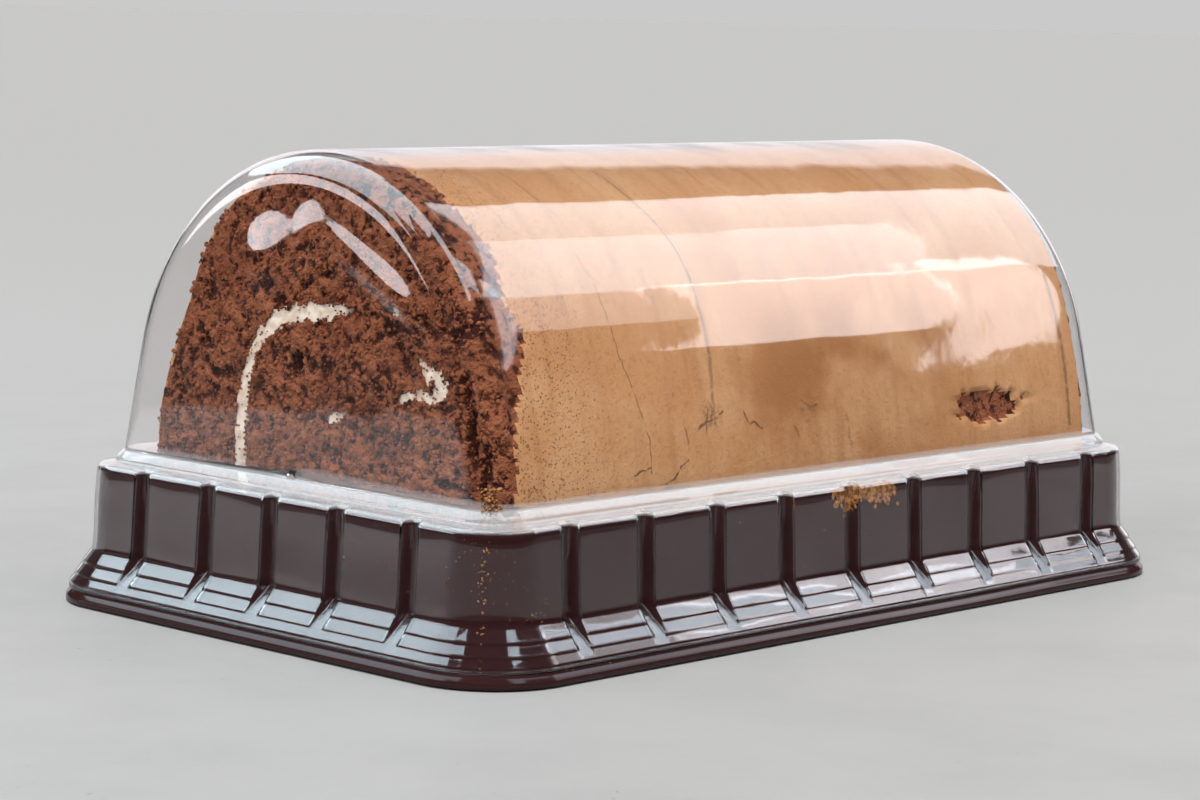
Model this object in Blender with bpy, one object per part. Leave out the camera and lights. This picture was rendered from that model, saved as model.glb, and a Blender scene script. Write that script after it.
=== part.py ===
"""A chocolate swiss roll in its shut shop pack: a ribbed dark tray, a clear
domed lid, the rolled sponge and its spiral of cream.

The length runs along X with the cut end that shows the spiral at -X, the
width along Y, and +Z is up. The origin is at the middle of the pack's
underside. All sizes are in metres.
"""

import math

import bmesh
import bpy
from mathutils import Vector

# Pack, measured over the flat ribbed panels of the lid's skirt, at their top
SKIRT_LENGTH = 0.220
SKIRT_WIDTH = 0.130
SKIRT_CORNER = 0.0125
SKIRT_TOP = 0.0287
SKIRT_BOTTOM = 0.0099
SKIRT_FLARE = 0.00095
CORNER_STEPS = 6

# Ribs: grooves between the flat panels
RIB_PITCH = 0.022
RIBS_ALONG = 9
END_RIB_PITCH = 0.020
END_RIB_PITCH_OUTER = 0.0218
RIB_MOUTH = 0.0048
RIB_FLOOR = 0.0026
RIB_DEPTH = 0.0025

# Clear dome
DOME_FOOT = 0.0334
DOME_HEIGHT = 0.1013
DOME_LENGTH = 0.2088
DOME_HALF_WIDTH = 0.0591
DOME_DRAFT = math.radians(12.2)
DOME_END_LEAN = 0.0012
DOME_FILLET = 0.0070
ARCH_STEPS = 22

# Sheet
LID_THICKNESS = 0.0005
TRAY_THICKNESS = 0.0006
GAP = 0.0003

# Tray: how far its edge reaches past the skirt, its rim and its inner wall
TRAY_EDGE = 0.0068
TRAY_LIP = 0.0003
CAVITY_TOP_HALF = (0.1037, 0.0584)
CAVITY_FOOT_HALF = (0.1022, 0.0566)
CAVITY_FOOT = 0.0060
FLOOR_HALF = (0.1008, 0.0545)
FLOOR_CORNER = 0.006
CAVITY_CORNER = 0.0075

# Rolled sponge, from the cut end to the far end
ROLL_START = -0.0980
ROLL_END = 0.0995
ROLL_BED = TRAY_THICKNESS + GAP
ROLL_CENTRE = (-0.002, 0.048)
OUTLINE_POINTS = 48
ROLL_SPANS = 6
CUT_EDGE_ROUND = 0.0035
CUT_RAGGED = 0.0007
CUT_RINGS = (0.044, 0.026, 0.011)
SKIN_WAVE = 0.0005

# Torn spot in the skin: middles along X and up, and half lengths
TORN_PITS = ((0.0580, 0.0424, 0.0060), (0.0670, 0.0430, 0.0065), (0.0625, 0.0402, 0.0050))
TORN_SIDE = -0.0542
TORN_HALF_DEEP = 0.0017
TORN_HALF_HIGH = 0.0036

# Cream
CREAM_THICK = 0.0034
CREAM_THIN = 0.0010
CREAM_STEPS = 3
CREAM_RECESS = 0.0003
SLOT_OVERRUN = 0.005

# The lid's outer face from the dome's foot down to its rim: outwards from
# the skirt's top, height, and how deep the ribs are cut there. None is a ring
# that has no points for the ribs.
LID_PROFILE = (
    (-0.0039, 0.0307, None),
    (-0.0033, 0.0303, 0.0),
    (-0.0007, 0.0299, RIB_DEPTH - 0.0007),
    (0.0, SKIRT_TOP, RIB_DEPTH),
    (SKIRT_FLARE, SKIRT_BOTTOM, RIB_DEPTH),
    (0.0024, 0.0091, 0.0009),
    (0.0030, 0.0064, 0.0),
    (0.0042, 0.0052, None),
    (0.0045, 0.0032, None),
    (0.0061, 0.0027, None),
)

# The roll's outline seen on the cut end, as (y, z) points from its bottom
# right corner up the side that leans on the lid, over the top and down
ROLL_OUTLINE = (
    (-0.038, ROLL_BED), (-0.050, 0.0075), (-0.0550, 0.020), (-0.0558, 0.034),
    (-0.0520, 0.055), (-0.0450, 0.074), (-0.0325, 0.0880), (-0.0165, 0.0968),
    (-0.0020, 0.0992), (0.0115, 0.0967), (0.0235, 0.0920), (0.0318, 0.0850),
    (0.0375, 0.0765), (0.0412, 0.0670), (0.0462, 0.0560), (0.0503, 0.0440),
    (0.0513, 0.0330), (0.0495, 0.0180), (0.0430, 0.0068), (0.034, ROLL_BED),
)

# The cream's middle line on the cut end, from the tail under the core,
# round the core and back into it, with its thickness there
CREAM_LINE = (
    (-0.0300, 0.0120, CREAM_THICK), (-0.0120, 0.0105, CREAM_THICK),
    (0.0060, 0.0135, CREAM_THICK), (0.0175, 0.0215, CREAM_THICK),
    (0.0226, 0.0330, CREAM_THICK), (0.0228, 0.0450, CREAM_THICK),
    (0.0193, 0.0550, CREAM_THICK), (0.0153, 0.0618, CREAM_THICK),
    (0.0085, 0.0664, CREAM_THICK), (-0.0002, 0.0683, CREAM_THICK),
    (-0.0090, 0.0687, 0.0026), (-0.0165, 0.0694, CREAM_THIN),
    (-0.0240, 0.0692, 0.0016), (-0.0293, 0.0660, CREAM_THIN),
    (-0.0316, 0.0618, 0.0022), (-0.0352, 0.0590, 0.0034),
    (-0.0382, 0.0560, 0.0036), (-0.0372, 0.0526, 0.0034),
    (-0.0335, 0.0523, 0.0028), (-0.0300, 0.0532, 0.0022),
    (-0.0262, 0.0516, 0.0022), (-0.0225, 0.0504, CREAM_THIN),
    (-0.0150, 0.0494, CREAM_THIN), (-0.0100, 0.0481, 0.0020),
    (-0.0063, 0.0464, 0.0022), (-0.0014, 0.0457, CREAM_THIN),
)


def clear_scene():
    for thing in list(bpy.data.objects):
        bpy.data.objects.remove(thing)


def material(name, colour, roughness, alpha=1.0):
    mat = bpy.data.materials.new(name)
    mat.use_nodes = True
    shader = mat.node_tree.nodes["Principled BSDF"]
    shader.inputs["Base Color"].default_value = (*colour, 1.0)
    shader.inputs["Roughness"].default_value = roughness
    shader.inputs["Metallic"].default_value = 0.0
    shader.inputs["Alpha"].default_value = alpha
    return mat


def face_outwards(bm):
    bmesh.ops.recalc_face_normals(bm, faces=bm.faces)
    if bm.calc_volume(signed=True) < 0:
        bmesh.ops.reverse_faces(bm, faces=bm.faces)


def object_from(bm, name, mat, sharp_angle=math.radians(35)):
    face_outwards(bm)
    mesh = bpy.data.meshes.new(name)
    bm.to_mesh(mesh)
    bm.free()
    mesh.materials.append(mat)
    mesh.shade_smooth()
    mesh.set_sharp_from_angle(angle=sharp_angle)
    thing = bpy.data.objects.new(name, mesh)
    bpy.context.scene.collection.objects.link(thing)
    return thing


def smooth_curve(points, steps, closed=False):
    """Catmull-Rom curve through tuples of any length."""
    count = len(points)
    spans = count if closed else count - 1
    out = []
    for i in range(spans):
        if closed:
            around = [points[(i + k) % count] for k in (-1, 0, 1, 2)]
        else:
            around = [points[min(max(i + k, 0), count - 1)] for k in (-1, 0, 1, 2)]
        for step in range(steps):
            t = step / steps
            out.append(tuple(
                0.5 * (2 * b + (c - a) * t + (2 * a - 5 * b + 4 * c - d) * t * t
                       + (3 * b - a - 3 * c + d) * t ** 3)
                for a, b, c, d in zip(*around)))
    if not closed:
        out.append(tuple(points[-1]))
    return out


def rib_places():
    """Middles of the ribs along X and along Y."""
    along = [(i - (RIBS_ALONG - 1) / 2) * RIB_PITCH for i in range(RIBS_ALONG)]
    outer = END_RIB_PITCH + END_RIB_PITCH_OUTER
    across = [-outer, -END_RIB_PITCH, 0.0, END_RIB_PITCH, outer]
    return along, across


def rounded_plan(half_x, half_y, corner, rib_depth=None):
    """Counterclockwise plan outline, from the side at -Y, with four points at each rib, if any."""
    along, across = rib_places()
    sides = (
        (Vector((1, 0)), Vector((0, -half_y)), along),
        (Vector((0, 1)), Vector((half_x, 0)), across),
        (Vector((-1, 0)), Vector((0, half_y)), along),
        (Vector((0, -1)), Vector((-half_x, 0)), across),
    )
    corners = (
        Vector((half_x - corner, -half_y + corner)),
        Vector((half_x - corner, half_y - corner)),
        Vector((-half_x + corner, half_y - corner)),
        Vector((-half_x + corner, -half_y + corner)),
    )
    outline = []
    for turn, (run, middle, places) in enumerate(sides):
        inward = Vector((-run.y, run.x))
        if rib_depth is not None:
            for place in places:
                for shift, depth in ((-RIB_MOUTH / 2, 0.0), (-RIB_FLOOR / 2, rib_depth),
                                     (RIB_FLOOR / 2, rib_depth), (RIB_MOUTH / 2, 0.0)):
                    outline.append(middle + run * (place + shift) + inward * depth)
        start = math.radians(-90 + 90 * turn)
        for step in range(CORNER_STEPS + 1):
            angle = start + math.radians(90) * step / CORNER_STEPS
            outline.append(corners[turn] + corner * Vector((math.cos(angle), math.sin(angle))))
    return outline


def inset_plan(outline, distance):
    """Moves a counterclockwise outline inwards by an even distance."""
    out = []
    count = len(outline)
    for i, point in enumerate(outline):
        before = (point - outline[i - 1]).normalized()
        after = (outline[(i + 1) % count] - point).normalized()
        first = Vector((-before.y, before.x))
        second = Vector((-after.y, after.x))
        out.append(point + distance * (first + second) / (1 + first.dot(second)))
    return out


def profile_normals(profile, start):
    """Outward mitred normals along a profile that runs downwards from start."""
    points = [Vector(start)] + [Vector(p[:2]) for p in profile]
    normals = []
    for i in range(1, len(points)):
        before = (points[i] - points[i - 1]).normalized()
        after = (points[i + 1] - points[i]).normalized() if i + 1 < len(points) else before
        first = Vector((-before.y, before.x))
        second = Vector((-after.y, after.x))
        normals.append((first + second) / (1 + first.dot(second)))
    return normals


def skirt_levels(depth):
    """Plan outlines and heights of the skirt's face, a depth below the lid's outer face."""
    foot = (DOME_HALF_WIDTH - SKIRT_WIDTH / 2, DOME_FOOT)
    levels = []
    for (out, height, rib), normal in zip(LID_PROFILE, profile_normals(LID_PROFILE, foot)):
        plan = rounded_plan(SKIRT_LENGTH / 2 + out, SKIRT_WIDTH / 2 + out, SKIRT_CORNER + out, rib)
        levels.append((inset_plan(plan, normal.x * depth), height - normal.y * depth))
    return levels


def add_loop(bm, outline, height):
    return [bm.verts.new((p.x, p.y, height)) for p in outline]


def stitch(bm, first, second):
    """Joins two closed rings of vertices, point to point, or by the shorter step where counts differ."""
    count, other = len(first), len(second)
    if count == other:
        for i in range(count):
            bm.faces.new((first[i - 1], first[i], second[i], second[i - 1]))
        return
    start = min(range(other), key=lambda k: (second[k].co - first[0].co).length)
    ring = second[start:] + second[:start]
    i = j = 0
    while i < count or j < other:
        near, far = first[i % count], ring[j % other]
        next_near, next_far = first[(i + 1) % count], ring[(j + 1) % other]
        step_first = (next_near.co - far.co).length <= (next_far.co - near.co).length
        if j >= other or (i < count and step_first):
            bm.faces.new((near, next_near, far))
            i += 1
        else:
            bm.faces.new((near, next_far, far))
            j += 1


def stitch_all(bm, rings):
    for upper, lower in zip(rings, rings[1:]):
        stitch(bm, upper, lower)


def arch_row(x, inset):
    """One row of dome points across the width, from the foot at -Y over to the foot at +Y."""
    rise = DOME_HEIGHT - DOME_FOOT
    sine, cosine = math.sin(DOME_DRAFT), math.cos(DOME_DRAFT)
    radius = (DOME_HALF_WIDTH * cosine - rise * sine) / (1 - sine)
    centre = DOME_HEIGHT - radius
    foot = DOME_HALF_WIDTH - inset / cosine
    row = [Vector((x, -foot, DOME_FOOT))]
    for step in range(ARCH_STEPS + 1):
        angle = math.pi - DOME_DRAFT - (math.pi - 2 * DOME_DRAFT) * step / ARCH_STEPS
        reach = radius - inset
        row.append(Vector((x, reach * math.cos(angle), centre + reach * math.sin(angle))))
    row.append(Vector((x, foot, DOME_FOOT)))
    return row


def add_dome(bm, depth):
    """The dome's face, a depth below its outer face. Returns the ring of its foot."""
    half = DOME_LENGTH / 2 - depth
    fillet = DOME_FILLET - depth
    rows = []
    for end in (-1, 1):
        for step in range(CORNER_STEPS + 1):
            angle = math.radians(90) * (step if end > 0 else CORNER_STEPS - step) / CORNER_STEPS
            x = end * (half - fillet + fillet * math.sin(angle))
            row = arch_row(x, depth + fillet * (1 - math.cos(angle)))
            for point in row:
                lean = DOME_END_LEAN * (point.z - DOME_FOOT) / (DOME_HEIGHT - DOME_FOOT)
                point.x -= end * lean
            rows.append([bm.verts.new(point) for point in row])
    for first, second in zip(rows, rows[1:]):
        for i in range(len(first) - 1):
            bm.faces.new((first[i], first[i + 1], second[i + 1], second[i]))
    bm.faces.new(rows[0])
    bm.faces.new(rows[-1])
    left, right = rows[:CORNER_STEPS + 1], rows[CORNER_STEPS + 1:]
    return ([row[0] for row in right] + [row[-1] for row in right[::-1]]
            + [row[-1] for row in left[::-1]] + [row[0] for row in left])


def make_lid(mat):
    """One clear sheet: the dome, its ledge, the ribbed skirt, the stepped foot and the rim."""
    bm = bmesh.new()
    edges = []
    for depth in (0.0, LID_THICKNESS):
        rings = [add_dome(bm, depth)]
        rings += [add_loop(bm, plan, height) for plan, height in skirt_levels(depth)]
        stitch_all(bm, rings)
        edges.append(rings[-1])
    stitch(bm, *edges)
    return object_from(bm, "lid", mat)


def make_tray(mat):
    """One dark sheet: the flat floor, the cavity's wall, the rim, the ribbed wall and the edge."""
    bm = bmesh.new()
    edges = []
    for sheet in (0.0, TRAY_THICKNESS):
        levels = skirt_levels(LID_THICKNESS + GAP + sheet)[1:]
        rim_height = levels[0][1]
        edge_height = levels[-1][1]
        cavity = [(rounded_plan(*FLOOR_HALF, FLOOR_CORNER), TRAY_THICKNESS - sheet)]
        for half, height in ((CAVITY_FOOT_HALF, CAVITY_FOOT - sheet / 2), (CAVITY_TOP_HALF, rim_height)):
            cavity.append((rounded_plan(half[0] + sheet, half[1] + sheet, CAVITY_CORNER + sheet), height))
        reach = TRAY_EDGE - sheet
        edge = rounded_plan(SKIRT_LENGTH / 2 + reach, SKIRT_WIDTH / 2 + reach, SKIRT_CORNER + reach)
        lip = [(edge, edge_height), (edge, TRAY_LIP)]
        rings = [add_loop(bm, plan, height) for plan, height in cavity + levels + lip]
        bm.faces.new(rings[0])
        stitch_all(bm, rings)
        edges.append(rings[-1])
    stitch(bm, *edges)
    return object_from(bm, "tray", mat)


def even_outline():
    """The roll's outline, closed and evenly spaced."""
    dense = [Vector(p) for p in smooth_curve(ROLL_OUTLINE, 12, closed=True)]
    for point in dense:
        point.y = max(point.y, ROLL_BED)
    lengths = [0.0]
    for i in range(1, len(dense) + 1):
        lengths.append(lengths[-1] + (dense[i % len(dense)] - dense[i - 1]).length)
    out = []
    spot = 0
    for k in range(OUTLINE_POINTS):
        goal = lengths[-1] * k / OUTLINE_POINTS
        while lengths[spot + 1] < goal:
            spot += 1
        part = (goal - lengths[spot]) / (lengths[spot + 1] - lengths[spot])
        out.append(dense[spot].lerp(dense[(spot + 1) % len(dense)], part))
    return out


def roll_ring(bm, x, inset, crag=0.0):
    """One ring of the roll's skin, drawn in by inset, with a light unevenness."""
    centre = Vector(ROLL_CENTRE)
    verts = []
    for i, point in enumerate(even_outline()):
        turn = 2 * math.pi * i / OUTLINE_POINTS
        wave = SKIN_WAVE * math.sin(3 * turn + 40 * x) * math.sin(55 * x + turn)
        inwards = (centre - point).normalized()
        spot = point + inwards * (inset + SKIN_WAVE + wave)
        if inset < CUT_EDGE_ROUND:
            spot.y = max(spot.y, ROLL_BED)
        ragged = crag * (math.sin(7 * turn) + math.sin(11 * turn + 900 * inset)) / 2
        verts.append(bm.verts.new((x + ragged, spot.x, spot.y)))
    return verts


def torn_spot():
    """A shallow ragged pit where a bit of the skin has come away near the far end."""
    bm = bmesh.new()
    for x, z, half_long in TORN_PITS:
        made = bmesh.ops.create_icosphere(bm, subdivisions=2, radius=1.0)
        bmesh.ops.scale(bm, vec=(half_long, TORN_HALF_DEEP, TORN_HALF_HIGH), verts=made["verts"])
        bmesh.ops.translate(bm, vec=(x, TORN_SIDE, z), verts=made["verts"])
    mesh = bpy.data.meshes.new("torn_spot_cutter")
    bm.to_mesh(mesh)
    bm.free()
    return bpy.data.objects.new("torn_spot_cutter", mesh)


def cream_strip(name, grow, start, end):
    """The cream's line thickened by its own width and extruded along the roll."""
    line = smooth_curve(CREAM_LINE, CREAM_STEPS)
    left, right = [], []
    for i, (y, z, thick) in enumerate(line):
        before = Vector(line[max(i - 1, 0)][:2])
        after = Vector(line[min(i + 1, len(line) - 1)][:2])
        run = (after - before).normalized()
        side = Vector((-run.y, run.x)) * (thick / 2 + grow)
        middle = Vector((y, z))
        if i == 0:
            middle -= run * grow
        if i == len(line) - 1:
            middle += run * grow
        left.append(middle + side)
        right.append(middle - side)
    bm = bmesh.new()
    rim = [bm.verts.new((start, p.x, p.y)) for p in left + right[::-1]]
    face = bm.faces.new(rim)
    made = bmesh.ops.extrude_face_region(bm, geom=[face])
    moved = [v for v in made["geom"] if isinstance(v, bmesh.types.BMVert)]
    bmesh.ops.translate(bm, vec=(end - start, 0, 0), verts=moved)
    face_outwards(bm)
    mesh = bpy.data.meshes.new(name)
    bm.to_mesh(mesh)
    bm.free()
    return bpy.data.objects.new(name, mesh)


def cut(thing, cutter):
    """Takes a cutter out of an object for good."""
    bpy.context.scene.collection.objects.link(cutter)
    cutter.hide_render = True
    cutter.display_type = "WIRE"
    tool = thing.modifiers.new("cut", "BOOLEAN")
    tool.operation = "DIFFERENCE"
    tool.solver = "EXACT"
    tool.use_self = True
    tool.object = cutter
    bpy.context.view_layer.update()
    shaped = bpy.data.meshes.new_from_object(thing.evaluated_get(bpy.context.evaluated_depsgraph_get()))
    thing.modifiers.remove(tool)
    thing.data = shaped
    bpy.data.objects.remove(cutter)


def make_sponge(mat):
    """The rolled sponge with its cut end, its torn spot and the slot that the cream fills."""
    bm = bmesh.new()
    loops = []
    for inset in CUT_RINGS:
        loops.append(roll_ring(bm, ROLL_START, inset, crag=CUT_RAGGED))
    for share in (1.0, 0.35, 0.0):
        loops.append(roll_ring(bm, ROLL_START + CUT_EDGE_ROUND * (1 - share), CUT_EDGE_ROUND * share ** 1.5,
                               crag=CUT_RAGGED * share))
    start = ROLL_START + CUT_EDGE_ROUND
    stop = ROLL_END - CUT_EDGE_ROUND / 2
    for step in range(1, ROLL_SPANS + 1):
        loops.append(roll_ring(bm, start + (stop - start) * step / ROLL_SPANS, 0.0))
    loops.append(roll_ring(bm, ROLL_END, CUT_EDGE_ROUND / 3, crag=-CUT_RAGGED / 2))
    for inset in reversed(CUT_RINGS):
        loops.append(roll_ring(bm, ROLL_END, inset, crag=-CUT_RAGGED))
    stitch_all(bm, loops)
    bm.faces.new(loops[0])
    bm.faces.new(loops[-1])
    bmesh.ops.triangulate(bm, faces=bm.faces)
    sponge = object_from(bm, "sponge", mat)
    cut(sponge, torn_spot())
    cut(sponge, cream_strip("slot_cutter", GAP, ROLL_START - SLOT_OVERRUN, ROLL_END + SLOT_OVERRUN))
    sponge.data.shade_smooth()
    sponge.data.set_sharp_from_angle(angle=math.radians(40))
    return sponge


def make_cream(mat):
    """The spiral of cream, one strip through the whole roll."""
    cream = cream_strip("cream", 0.0, ROLL_START + CREAM_RECESS, ROLL_END - CREAM_RECESS)
    cream.data.materials.append(mat)
    cream.data.shade_smooth()
    cream.data.set_sharp_from_angle(angle=math.radians(35))
    bpy.context.scene.collection.objects.link(cream)
    return cream


def main():
    clear_scene()
    make_tray(material("dark_brown_plastic", (0.050, 0.022, 0.018), 0.18))
    make_lid(material("clear_plastic", (0.95, 0.95, 0.95), 0.05, alpha=0.2))
    make_sponge(material("chocolate_sponge", (0.095, 0.030, 0.014), 0.9))
    make_cream(material("vanilla_cream", (0.78, 0.70, 0.56), 0.5))


main()
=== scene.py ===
"""Looks of a chocolate swiss roll in its shut domed pack.

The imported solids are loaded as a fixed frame. Each operator here models one piece at its finest
over the solid that it stands for: the ribbed brown tray, the clear lid, the rolled sponge with
its baked skin, the cream, the loose crumbs and the crumbs caught between lid and tray.

The roll lies along X with its cut end at -X, and +Z is up. Sizes are in metres.
"""
import math
import random

import bmesh
import bpy
from bpy.props import FloatProperty, FloatVectorProperty, IntProperty, PointerProperty
from mathutils import Matrix, Vector, noise
from mathutils.bvhtree import BVHTree


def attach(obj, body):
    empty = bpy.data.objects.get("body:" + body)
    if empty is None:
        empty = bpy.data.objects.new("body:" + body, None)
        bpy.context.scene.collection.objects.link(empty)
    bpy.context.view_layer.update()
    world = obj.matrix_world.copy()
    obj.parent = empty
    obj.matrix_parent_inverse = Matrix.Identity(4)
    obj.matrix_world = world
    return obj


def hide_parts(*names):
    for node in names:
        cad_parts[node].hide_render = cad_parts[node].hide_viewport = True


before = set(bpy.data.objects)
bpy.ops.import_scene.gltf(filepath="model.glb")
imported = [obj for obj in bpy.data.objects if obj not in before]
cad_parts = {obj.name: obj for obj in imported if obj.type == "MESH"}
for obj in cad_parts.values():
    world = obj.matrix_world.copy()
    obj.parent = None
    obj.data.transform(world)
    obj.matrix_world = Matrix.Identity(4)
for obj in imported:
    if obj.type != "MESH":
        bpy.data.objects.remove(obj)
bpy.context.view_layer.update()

bl_info = {
    "name": "Chocolate Swiss Roll Pack",
    "version": (1, 0, 0),
    "blender": (4, 5, 0),
    "location": "View3D > Sidebar > Swiss Roll",
    "description": "Builds a chocolate swiss roll in its clear domed pack around the packed solids",
    "category": "Add Mesh",
}

MM = 0.001
UP = Vector((0, 0, 1))


def linear(hex_text):
    """An sRGB hex colour as linear RGBA."""
    shares = [int(hex_text[i:i + 2], 16) / 255 for i in (1, 3, 5)]
    return (*(s / 12.92 if s <= 0.04045 else ((s + 0.055) / 1.055) ** 2.4 for s in shares), 1.0)


def length(default, description):
    return FloatProperty(description=description, default=default, unit="LENGTH", precision=5)


def angle(default, description):
    return FloatProperty(description=description, default=default, subtype="ANGLE")


def count(default, most, description, least=0):
    return IntProperty(description=description, default=default, min=least, max=most)


def colour(hex_text, description):
    return FloatVectorProperty(description=description, default=linear(hex_text),
                               subtype="COLOR", size=4, min=0.0, max=1.0)


class PackSettings(bpy.types.PropertyGroup):
    """Sizes and colours of the tray and the clear lid."""
    skirt_length: length(0.220, "Over the flat panels of the skirt, at their top")
    skirt_width: length(0.130, "Over the flat panels of the skirt, at their top")
    skirt_corner: length(0.0125, "Corner radius of the skirt in plan")
    rib_pitch: length(0.022, "Between the ribs of the long sides")
    end_rib_pitch: length(0.020, "Between the inner ribs of the ends")
    outer_rib_pitch: length(0.0218, "From an inner to an outer rib of the ends")
    rib_mouth: length(0.0048, "Width of a rib's groove at the panels")
    rib_floor: length(0.0026, "Width of a rib's groove at its floor")
    dome_foot: length(0.0334, "Height of the dome's foot")
    dome_height: length(0.1013, "Height of the dome's top")
    dome_length: length(0.2088, "Over the dome's end walls")
    dome_half_width: length(0.0591, "Half the dome's width at its foot")
    dome_draft: angle(math.radians(12.2), "Lean of the dome's sides")
    dome_lean: length(0.0012, "How far an end wall leans in at its top")
    dome_fillet: length(0.0070, "Rounding between dome and end wall")
    lid_thickness: length(0.0005, "Thickness of the clear sheet")
    tray_thickness: length(0.0006, "Thickness of the brown sheet")
    tray_inset: length(0.0008, "From the lid's outer face in to the tray's")
    tray_edge: length(0.0067, "How far the tray's edge reaches past the skirt")
    tray_colour: colour("#311a1b", "Brown of the tray's sheet")


class RollSettings(bpy.types.PropertyGroup):
    """Sizes and colours of the sponge, the cream and the crumbs."""
    start: length(-0.0980, "Where the cut end that shows lies along X")
    stop: length(0.0995, "Where the far end lies along X")
    bed: length(0.0009, "Height of the roll's underside")
    grain: length(0.0023, "Spacing of the crumb's grains")
    around: count(440, 900, "Points in one ring of the roll", least=100)
    crumb_count: count(5200, 9000, "Crumbs that cling to the cut end")
    seed: count(11, 999, "Seed of the crumbs' places")
    crumb_colour: colour("#9b5c3f", "Chocolate crumb in the light")
    # Painted shade that the crumb's material lays into its hollows, pits and low grains
    crumb_painted_shade: colour("#3c1a10", "Chocolate crumb in its hollows")
    skin_colour: colour("#cf9663", "Baked skin")
    skin_light: colour("#dba878", "Paler patches of the baked skin")
    skin_dark: colour("#a9713f", "Darker patches of the baked skin")
    cream_colour: colour("#fdebd8", "Vanilla cream")


class StageSettings(bpy.types.PropertyGroup):
    """The camera, the floor and the studio light."""
    camera_place: FloatVectorProperty(description="Where the camera stands", subtype="TRANSLATION",
                                      default=(-0.54724, -0.50252, 0.13020))
    camera_yaw: angle(0.8175, "Turn of the view from +Y towards +X")
    camera_pitch: angle(0.1177, "How far the view looks down")
    camera_roll: angle(0.0249, "Tilt of the picture")
    camera_lens: FloatProperty(description="Focal length in mm on a 36 mm sensor", default=97.7, min=10.0)
    floor_colour: colour("#b3b3b2", "Pale table top")
    floor_size: length(120.0, "Side of the square floor")


# Node trees


def add_node(tree, kind, inputs=None, **settings):
    """Adds a node with its settings. An input given as a socket is linked, one given as hex text
    is that colour, and any other is its value."""
    node = tree.nodes.new(kind if kind.startswith("Node") else "ShaderNode" + kind)
    for key, value in settings.items():
        setattr(node, key, value)
    for key, value in (inputs or {}).items():
        if isinstance(value, bpy.types.NodeSocket):
            tree.links.new(value, node.inputs[key])
        else:
            node.inputs[key].default_value = linear(value) if isinstance(value, str) else value
    return node


def add_vector(tree, operation, *given):
    """The result of a vector operation, a single value where it has one."""
    node = add_node(tree, "VectorMath", dict(enumerate(given)), operation=operation)
    return node.outputs["Value" if operation in ("LENGTH", "DOT_PRODUCT") else "Vector"]


class Look:
    """The node tree of a material or of the world, which short calls fill."""

    def __init__(self, name, world=False):
        self.owner = (bpy.data.worlds if world else bpy.data.materials).new(name)
        self.owner.use_nodes = True
        self.tree = self.owner.node_tree
        self.tree.nodes.clear()
        self.output = self.add("OutputWorld" if world else "OutputMaterial")
        self.place = self.add("TexCoord").outputs["Generated" if world else "Object"]

    def add(self, kind, inputs=None, **settings):
        return add_node(self.tree, kind, inputs, **settings)

    def vector(self, operation, *given):
        return add_vector(self.tree, operation, *given)

    def math(self, operation, first, second=0.0):
        return self.add("Math", {0: first, 1: second}, operation=operation).outputs[0]

    def times(self, first, second):
        return self.math("MULTIPLY", first, second)

    def axes(self, vector):
        return self.add("SeparateXYZ", {"Vector": vector}).outputs

    def noise(self, grain, detail=2.0, roughness=0.5, vector=None):
        """Noise whose grain is so many mm across, or units of a vector that is given."""
        return self.add("TexNoise", {
            "Vector": vector or self.place, "Scale": 1 / (grain if vector else grain * MM),
            "Detail": detail, "Roughness": roughness}).outputs["Fac"]

    def ranged(self, value, low, high, to_low=0.0, to_high=1.0):
        """Maps a value smoothly from one range to another."""
        return self.add("MapRange", {
            "Value": value, "From Min": low, "From Max": high, "To Min": to_low, "To Max": to_high},
            interpolation_type="SMOOTHSTEP").outputs["Result"]

    def blend(self, share, first, second):
        """Mixes two colours by a share."""
        return self.add("Mix", {0: share, 6: first, 7: second}, data_type="RGBA").outputs[2]

    def mix(self, share, first, second):
        """Mixes two shaders by a share."""
        return self.add("MixShader", {0: share, 1: first, 2: second}).outputs[0]

    def mirrored(self):
        """1 for what is seen in a reflection, also one inside the clear sheet, and 0 for the rest."""
        return self.math("GREATER_THAN", self.add("LightPath").outputs["Glossy Depth"], 0.5)

    def surface(self, tone, roughness, specular=0.5, bump=None, **more):
        """A Principled shader. Its bump is the height with its strength and distance in mm."""
        inputs = {"Base Color": tone, "Roughness": roughness, "Specular IOR Level": specular}
        inputs.update({key.replace("_", " "): value for key, value in more.items()})
        if bump:
            height, strength, distance = bump
            inputs["Normal"] = self.add("Bump", {
                "Height": height, "Strength": strength, "Distance": distance * MM}).outputs["Normal"]
        return self.add("BsdfPrincipled", inputs).outputs[0]

    def finish(self, shader):
        self.tree.links.new(shader, self.output.inputs["Surface"])
        return self.owner


# Meshes


def loft(bm, ring, rows, closed=True):
    """Extrudes a ring or chain of vertices through rows of places. Returns the last one."""
    for places in rows:
        edges = [bm.edges.get((ring[i - 1], ring[i])) for i in range(0 if closed else 1, len(ring))]
        made = bmesh.ops.extrude_edge_only(bm, edges=edges)["geom"]
        fresh = {v for v in made if isinstance(v, bmesh.types.BMVert)}
        ring = [next(e.other_vert(v) for e in v.link_edges if e.other_vert(v) in fresh) for v in ring]
        for vert, place in zip(ring, places):
            vert.co = place
    return ring


def chain(bm, places, closed=True):
    """Vertices at the places, joined in a row by edges."""
    verts = [bm.verts.new(place) for place in places]
    for i in range(0 if closed else 1, len(verts)):
        bm.edges.new((verts[i - 1], verts[i]))
    return verts


def outwards(bm, top=None):
    """Turns the faces of a closed shell outwards, or those of an open sheet so that its top is up."""
    bmesh.ops.recalc_face_normals(bm, faces=bm.faces)
    if (top.normal.z if top else bm.calc_volume(signed=True)) < 0:
        bmesh.ops.reverse_faces(bm, faces=bm.faces)


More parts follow.
